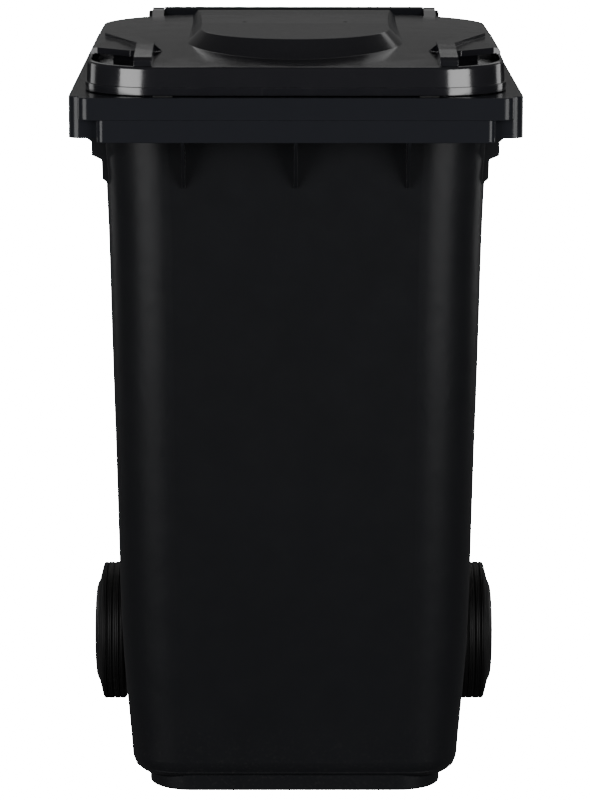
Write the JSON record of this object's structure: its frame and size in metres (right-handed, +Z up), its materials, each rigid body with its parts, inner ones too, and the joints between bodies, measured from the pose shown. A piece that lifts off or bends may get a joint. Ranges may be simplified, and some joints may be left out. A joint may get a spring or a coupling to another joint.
{
  "type": "wheelie bin",
  "caption": "Black two-wheeled refuse bin: tapered moulded tub with lifting rail, hinged lid with raised centre and corner grips, rear handle bar, rubber-tyred wheels.",
  "frame": {"origin": "on the ground, under the centre of the overall box", "axes": "+Z up; -Y towards the front, where the lifting rail is; +X to the right when facing the front"},
  "size_m": [0.582, 0.73, 1.0165],
  "materials": {
    "tub_plastic": "satin moulded polyethylene, black with a cool cast",
    "lid_plastic": "glossy moulded polyethylene, black",
    "pin_plastic": "moulded nylon, black",
    "hub_plastic": "moulded polypropylene, black",
    "tyre_rubber": "solid rubber with fine circumferential turning lines",
    "axle_steel": "zinc plated drawn steel bar",
    "latch_steel": "bright spring steel",
    "nylon": "natural nylon",
    "buffer_rubber": "soft black rubber"
  },
  "bodies": {
    "tub": {"tub": "tub_plastic", "lid_buffers": "buffer_rubber", "hinge_pin_left": "pin_plastic", "hinge_pin_right": "pin_plastic"},
    "lid": {"lid": "lid_plastic"},
    "axle": {"axle": "axle_steel", "axle_washer_left": "nylon", "axle_washer_right": "nylon"},
    "wheel_left": {"wheel_hub_left": "hub_plastic", "tyre_left": "tyre_rubber", "wheel_bush_left": "nylon", "hub_cap_left": "hub_plastic", "latch_spring_left": "latch_steel"},
    "wheel_right": {"wheel_hub_right": "hub_plastic", "tyre_right": "tyre_rubber", "wheel_bush_right": "nylon", "hub_cap_right": "hub_plastic", "latch_spring_right": "latch_steel"},
    "latch_left": {"latch_pin_left": "latch_steel"},
    "latch_right": {"latch_pin_right": "latch_steel"}
  },
  "joints": [
    {"name": "lid_hinge", "type": "hinge", "parent": "tub", "child": "lid", "pos_m": [0, 0.349, 0.988], "axis": [-1, 0, 0], "range_deg": [0, 270]},
    {"name": "axle_spin", "type": "hinge", "parent": "tub", "child": "axle", "pos_m": [0, 0.257, 0.1], "axis": [1, 0, 0], "continuous": true},
    {"name": "wheel_left_spin", "type": "hinge", "parent": "axle", "child": "wheel_left", "pos_m": [-0.26, 0.257, 0.1], "axis": [1, 0, 0], "continuous": true},
    {"name": "latch_left_slide", "type": "slide", "parent": "wheel_left", "child": "latch_left", "axis": [0, 0, 1], "range_m": [0, 0.0035], "stiffness_N_per_m": 300, "springref_m": -0.003, "deforming": ["latch_spring_left"]},
    {"name": "wheel_right_spin", "type": "hinge", "parent": "axle", "child": "wheel_right", "pos_m": [0.26, 0.257, 0.1], "axis": [1, 0, 0], "continuous": true},
    {"name": "latch_right_slide", "type": "slide", "parent": "wheel_right", "child": "latch_right", "axis": [0, 0, 1], "range_m": [0, 0.0035], "stiffness_N_per_m": 300, "springref_m": -0.003, "deforming": ["latch_spring_right"]}
  ]
}
